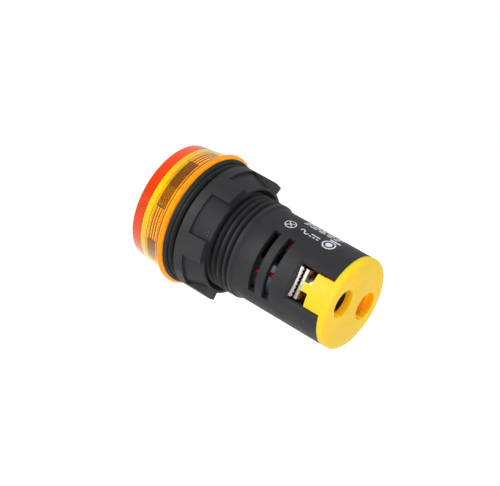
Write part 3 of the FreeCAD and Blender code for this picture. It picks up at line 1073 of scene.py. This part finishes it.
@dataclass
class Diffuser:
    """The milky cup behind the lens face, its ribbed skirt and the bands in the lens foot."""

    front: float = -8.95
    rear: float = -7.0
    web: float = 1.0
    wall: float = 1.0
    radius: float = 12.55
    skirt_radius: float = 10.9
    skirt_wall: float = 0.5
    skirt_rear: float = -3.4
    seam: Ring = (12.6, 12.65, -7.42, -7.34)
    bed: Ring = (11.85, 12.15, -6.97, -4.43)
    sectors: int = 4
    sector_margin: float = 1.0
    ribs: int = 4
    rib_first: float = -6.7
    rib_pitch: float = 0.68
    rib_base: float = 0.18
    rib_crest: float = 0.15
    rib_height: float = 0.12

    # The foot and lip edge bands glow all over with painted orange light, in place of the light
    # through the lip; the thin lip line stays dark.
    # The bands by piece: the finish, and each one's radii, front and rear
    BANDS = {
        "lens_foot": ("foot", (
            (12.58, 12.69, -4.38, -4.1), (12.58, 12.69, -3.85, -1.85), (12.9, 14.9, -2.5, -2.38),
        )),
        "lip_line": ("ribs", ((12.71, 12.74, -4.12, -3.84),)),
        "lip_edge": ("lip", ((14.93, 15.15, -2.5, -2.38),)),
    }

    def build(self, shop: Workshop) -> None:
        """Model the diffuser.

        Args:
            shop: The workshop.
        """
        floor = self.front + self.web
        bore = self.radius - self.wall
        skirt_bore = self.skirt_radius - self.skirt_wall
        cup = spun("diffuser_cup", [
            (0.0, self.front), (self.radius, self.front, 0.2), (self.radius, self.rear, 0.08),
            (bore, self.rear, 0.08), (bore, floor, 0.2), (self.skirt_radius, floor, 0.2),
            (self.skirt_radius, self.skirt_rear, 0.1), (skirt_bore, self.skirt_rear, 0.1),
            (skirt_bore, floor, 0.2), (0.0, floor),
        ])
        shop.hand_over(cup, Body.ROOT, "diffuser_yellow", "diffuser", "diffuser")
        for name, (finish, rings) in self.BANDS.items():
            bands = [plain_ring(f"{name}_{number}", ring) for number, ring in enumerate(rings)]
            shop.hand_over(join_all(name, bands), Body.ROOT, "diffuser_yellow", finish)
        self.tray(shop)

    def tray(self, shop: Workshop) -> None:
        """Model the ribbed tray between the drum's tongues: beds that glow with painted orange
        light, and ribs painted dark as shade.

        Args:
            shop: The workshop.
        """
        span = Housing.tongue_gap - self.sector_margin
        foot = self.bed[1] + 0.01
        crest = self.bed[1] + self.rib_height
        beds = []
        ribs = [plain_ring("seam_line", self.seam)]
        for sector in range(self.sectors):
            start = Housing.tongue_gap_centre + 360.0 / self.sectors * sector - span / 2
            beds.append(plain_ring(f"bed_{sector}", self.bed, span, start, SECTOR_STEPS))
            for number in range(self.ribs):
                place = self.rib_first + self.rib_pitch * number
                ribs.append(spun(f"rib_{sector}_{number}", [
                    (foot, place - self.rib_base), (foot, place + self.rib_base),
                    (crest, place + self.rib_crest), (crest, place - self.rib_crest),
                ], closed=True, angle=span, start=start, steps=SECTOR_STEPS))
        shop.hand_over(join_all("diffuser_beds", beds), Body.ROOT, "diffuser_yellow", "bed")
        # The ribs' dark brown is painted shade between the glowing beds.
        shop.hand_over(join_all("diffuser_ribs", ribs), Body.ROOT, "diffuser_yellow", "ribs")


@dataclass
class Gasket:
    """The rubber ring against the panel, with a bevelled rear edge."""

    bore: float = 11.0
    radius: float = 13.9
    rear_radius: float = 13.2
    front: float = -0.9
    bevel_start: float = -0.48
    edge: float = 0.1

    def build(self, shop: Workshop) -> None:
        """Model the gasket.

        Args:
            shop: The workshop.
        """
        ring = spun("gasket_ring", [
            (self.bore, self.front, self.edge), (self.radius, self.front, self.edge),
            (self.radius, self.bevel_start, self.edge), (self.rear_radius, 0.0, 2 * self.edge),
            (self.bore, 0.0, self.edge),
        ], closed=True)
        shop.hand_over(ring, Body.ROOT, "gasket_rubber", "gasket", "gasket")


@dataclass
class PanelNut:
    """The ring nut, with rounded lugs and a thread in its bore."""

    edge: float = 0.2

    def build(self, shop: Workshop) -> None:
        """Model the nut.

        Args:
            shop: The workshop.
        """
        nut = shop.copy_of("ring_nut", "panel_nut")
        thread = Thread(crest=11.0, depth=0.4, width=0.9, first=0.4, turns=6)
        combine(nut, thread.cutter("nut_thread", inside=True), Cut.TAKE_AWAY)
        soften(nut, self.edge, 3)
        shop.hand_over(nut, Body.NUT, "nut_black", "nut", "panel_nut")


@dataclass
class TerminalCover:
    """The yellow snap cover, with a sunk digit and a small nib at each hole."""

    edge: float = 0.26
    rim: float = 0.5
    over: float = 0.3
    radius: float = 10.35
    face: float = 37.9
    thickness: float = 1.8
    hole_offset: float = 5.0
    hole_radius: float = 3.1
    digit_up: float = 5.3
    digit_height: float = 2.1
    digit_depth: float = 0.18
    digit_weight: float = 0.03
    type_size: float = 1.35
    nib_half: float = 0.3
    nib_turn: float = -20.0

    def build(self, shop: Workshop) -> None:
        """Model the cover.

        Args:
            shop: The workshop.
        """
        cover = shop.copy_of("end_cover", "terminal_cover")
        soften(cover, self.edge, 3)
        combine(cover, self.rim_cutter(), Cut.TAKE_AWAY)
        for number, side in ((1, -1.0), (2, 1.0)):
            combine(cover, self.digit(str(number), side * self.hole_offset), Cut.TAKE_AWAY)
            combine(cover, self.nib(side * self.hole_offset), Cut.JOIN)
        shop.hand_over(cover, Body.COVER, "cover_yellow", "cover", "terminal_cover")

    def rim_cutter(self) -> Any:
        """The ring that rounds the face's edge.

        Returns:
            The cutter, in millimetres.
        """
        low = self.face - self.rim
        outer = self.radius + self.over
        return spun("rim_cutter", [
            (self.radius - self.rim, self.face),
            (self.radius - self.rim, self.face + self.over),
            (outer, self.face + self.over), (outer, low), (self.radius, low),
            (self.radius, self.face, self.rim),
        ], closed=True)

    def digit(self, text: str, across: float) -> Any:
        """The solid that sinks a digit beside a hole, read from behind.

        Args:
            text: The digit.
            across: Where it is along X.

        Returns:
            The digit's solid, in millimetres.
        """
        select_none()
        bpy.ops.object.text_add()
        words = bpy.context.object
        words.data.body = text
        words.data.size = self.digit_height * self.type_size
        words.data.extrude = self.digit_depth
        words.data.offset = self.digit_weight
        words.data.align_x = "CENTER"
        words.data.align_y = "CENTER"
        make_active(words)
        bpy.ops.object.convert(target="MESH")
        piece = bpy.context.object
        facing = Matrix(((-1, 0, 0), (0, 0, 1), (0, 1, 0))).to_4x4()
        piece.data.transform(Matrix.Translation((across, self.face, self.digit_up)) @ facing)
        turn_outward(piece)
        return piece

    def nib(self, across: float) -> Any:
        """A small ridge along a hole's wall, low on its side.

        Args:
            across: Where the hole's axis is along X.

        Returns:
            The ridge's solid, in millimetres.
        """
        half = self.nib_half
        piece = block("nib", (-half, self.face - self.thickness + 0.1, -self.hole_radius - half),
                      (half, self.face - 0.2, -self.hole_radius + half), 0.08)
        turn_mesh(piece, self.nib_turn)
        piece.data.transform(Matrix.Translation((across, 0.0, 0.0)))
        return piece


@dataclass
class Carried:
    """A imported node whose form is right: it gets soft edges and its finish."""

    node: str
    body: Body
    slot: str
    finish: str
    edge: float

    def build(self, shop: Workshop) -> None:
        """Dress the node.

        Args:
            shop: The workshop.
        """
        piece = shop.copy_of(f"{self.node}_piece", self.node)
        soften(piece, self.edge)
        shop.hand_over(piece, self.body, self.slot, self.finish, self.node)


CARRIED = [
    Carried("contact_plate_1", Body.ROOT, "plate_nickel", "nickel", 0.04),
    Carried("contact_plate_2", Body.ROOT, "plate_nickel", "nickel", 0.04),
    Carried("clamp_plate_1", Body.CLAMP_1, "plate_nickel", "nickel", 0.08),
    Carried("clamp_plate_2", Body.CLAMP_2, "plate_nickel", "nickel", 0.08),
    Carried("terminal_screw_1", Body.SCREW_1, "screw_zinc", "zinc", 0.08),
    Carried("terminal_screw_2", Body.SCREW_2, "screw_zinc", "zinc", 0.08),
    Carried("led_board", Body.ROOT, "white_lacquer", "lamp_board", 0.05),
    Carried("driver_board", Body.ROOT, "board_green", "driver_board", 0.04),
    Carried("film_capacitor", Body.ROOT, "capacitor_film", "film", 0.35),
    Carried("smoothing_capacitor", Body.ROOT, "capacitor_sleeve", "sleeve", 0.3),
    Carried("rectifier", Body.ROOT, "rectifier_black", "package", 0.12),
    Carried("dropper_resistor", Body.ROOT, "resistor_body", "dropper", 0.3),
    Carried("bleed_resistor", Body.ROOT, "resistor_red", "bleed", 0.25),
    Carried("link_pins", Body.ROOT, "pin_tin", "tin", 0.06),
] + [Carried(f"led_{n}", Body.ROOT, "led_package", "chip", 0.06) for n in range(1, 7)]


@dataclass(frozen=True)
class LeadWire:
    """A bent lead inside the body, from a terminal's tail to the driver board."""

    node: str
    finish: str
    route: tuple[Place, ...]
    radius: float = 0.5

    def build(self, shop: Workshop) -> None:
        """Model the wire.

        Args:
            shop: The workshop.
        """
        data = bpy.data.curves.new(f"{self.node}_line", "CURVE")
        data.dimensions = "3D"
        data.bevel_depth = self.radius
        data.bevel_resolution = 4
        data.use_fill_caps = True
        spline = data.splines.new("NURBS")
        spline.points.add(len(self.route) - 1)
        for point, place in zip(spline.points, self.route):
            point.co = (*place, 1.0)
        spline.order_u = 3
        spline.use_endpoint_u = True
        line = bpy.data.objects.new(f"{self.node}_piece", data)
        bpy.context.scene.collection.objects.link(line)
        make_active(line)
        bpy.ops.object.convert(target="MESH")
        shop.hand_over(bpy.context.object, Body.ROOT, self.finish, self.finish, self.node)


LEAD_WIRES = [
    LeadWire("lead_wire_1", "wire_black", (
        (-7.8, 23.6, 1.3), (-7.4, 22.0, 2.1), (-6.6, 19.0, 3.6), (-4.6, 19.0, 3.6),
        (-1.8, 19.0, 3.6),
    )),
    LeadWire("lead_wire_2", "wire_red", (
        (7.8, 23.6, -1.3), (7.6, 20.3, -2.0), (7.1, 11.8, -3.9), (6.9, 8.4, -4.6),
        (3.6, 8.4, -4.6), (-0.6, 8.4, -4.6),
    )),
]


# Studio


@dataclass(frozen=True)
class Lamp:
    """A square soft lamp."""

    name: str
    place: Place
    size: float
    power: float


@dataclass
class Studio:
    """White surroundings, a pale floor, soft lamps and the camera."""

    SOFT_LAMPS = (
        Lamp("key", (0.40, -0.2, 0.03), 0.40, 1.9),
        Lamp("top", (0.05, 0.1, 0.5), 0.40, 0.3),
        Lamp("fill", (0.25, 0.5, 0.05), 0.35, 1.0),
    )

    focal_length: float = 117.1
    sensor: float = 36.0
    nearest: float = 0.01
    eye: Place = (299.5, 171.9, 55.3)
    right: Place = (-0.4904, 0.7646, 0.4183)
    up: Place = (0.0748, -0.4413, 0.8943)
    ambient: float = 0.68
    mirrored: float = 0.7
    floor_size: float = 4.0
    floor_depth: float = -0.055
    floor_light: float = 0.45
    middle: Place = (0.0, 0.013, 0.0)

    def build(self) -> None:
        """Set up the view, the world, the floor and the lamps."""
        bpy.context.scene.view_settings.view_transform = "Standard"
        self.camera()
        self.world()
        self.floor()
        self.lamps()

    def camera(self) -> None:
        """Place the camera at the photograph's viewpoint."""
        data = bpy.data.cameras.new("camera")
        data.lens = self.focal_length
        data.sensor_width = self.sensor
        data.clip_start = self.nearest
        camera = bpy.data.objects.new("camera", data)
        bpy.context.scene.collection.objects.link(camera)
        right = Vector(self.right).normalized()
        up = Vector(self.up)
        up = (up - right * up.dot(right)).normalized()
        turn = Matrix((right, up, right.cross(up))).transposed()
        camera.matrix_world = Matrix.Translation(Vector(self.eye) * MM) @ turn.to_4x4()
        bpy.context.scene.camera = camera

    def world(self) -> None:
        """Add a white background that metal and clear plastic show too."""
        sheet = Sheet("studio", world=True)
        path = sheet.add("ShaderNodeLightPath")
        strength: Any = self.ambient
        for ray, level in (("Is Camera Ray", 1.0), ("Is Transmission Ray", 1.0),
                           ("Is Glossy Ray", self.mirrored)):
            step = {0: path.outputs[ray], 1: level - self.ambient, 2: strength}
            strength = sheet.add("ShaderNodeMath", step, operation="MULTIPLY_ADD").outputs[0]
        bpy.context.scene.world = sheet.surface(
            {"Color": (1.0, 1.0, 1.0), "Strength": strength}, "ShaderNodeBackground")

    def floor(self) -> None:
        """Add a pale floor under the light that keeps its soft shadow."""
        select_none()
        bpy.ops.mesh.primitive_plane_add(size=self.floor_size,
                                         location=(0, 0, self.floor_depth))
        floor = bpy.context.object
        floor.name = "floor"
        sheet = Sheet("floor_pale")
        path = sheet.add("ShaderNodeLightPath")
        seen = sheet.math("MAXIMUM", path.outputs["Is Camera Ray"],
                          path.outputs["Is Transmission Ray"])
        seen = sheet.math("MAXIMUM", seen, path.outputs["Is Glossy Ray"])
        floor.data.materials.append(sheet.surface({
            "Base Color": sheet.mix(sheet.noise(3.0), (0.86, 0.86, 0.86), (0.9, 0.9, 0.9)),
            "Roughness": 0.9,
            "Emission Color": (1.0, 1.0, 1.0),
            "Emission Strength": sheet.math("MULTIPLY", seen, self.floor_light),
        }))

    def lamps(self) -> None:
        """Add soft lamps, all turned to the light's middle."""
        for spec in self.SOFT_LAMPS:
            data = bpy.data.lights.new(spec.name, "AREA")
            data.size = spec.size
            data.energy = spec.power
            lamp = bpy.data.objects.new(spec.name, data)
            bpy.context.scene.collection.objects.link(lamp)
            lamp.location = spec.place
            away = Vector(spec.place) - Vector(self.middle)
            lamp.rotation_euler = away.to_track_quat("Z", "Y").to_euler()


def main() -> None:
    """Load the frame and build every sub-assembly."""
    logging.basicConfig(level=logging.INFO, format="%(name)s: %(message)s")
    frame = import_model()
    shop = Workshop(frame["nodes"], {key: spec.build() for key, spec in FINISHES.items()})
    Studio().build()
    for assembly in (Housing(), Lens(), Diffuser(), Gasket(), PanelNut(), TerminalCover(),
                     *CARRIED, *LEAD_WIRES):
        assembly.build(shop)
    select_none()


if __name__ == "__main__":
    main()
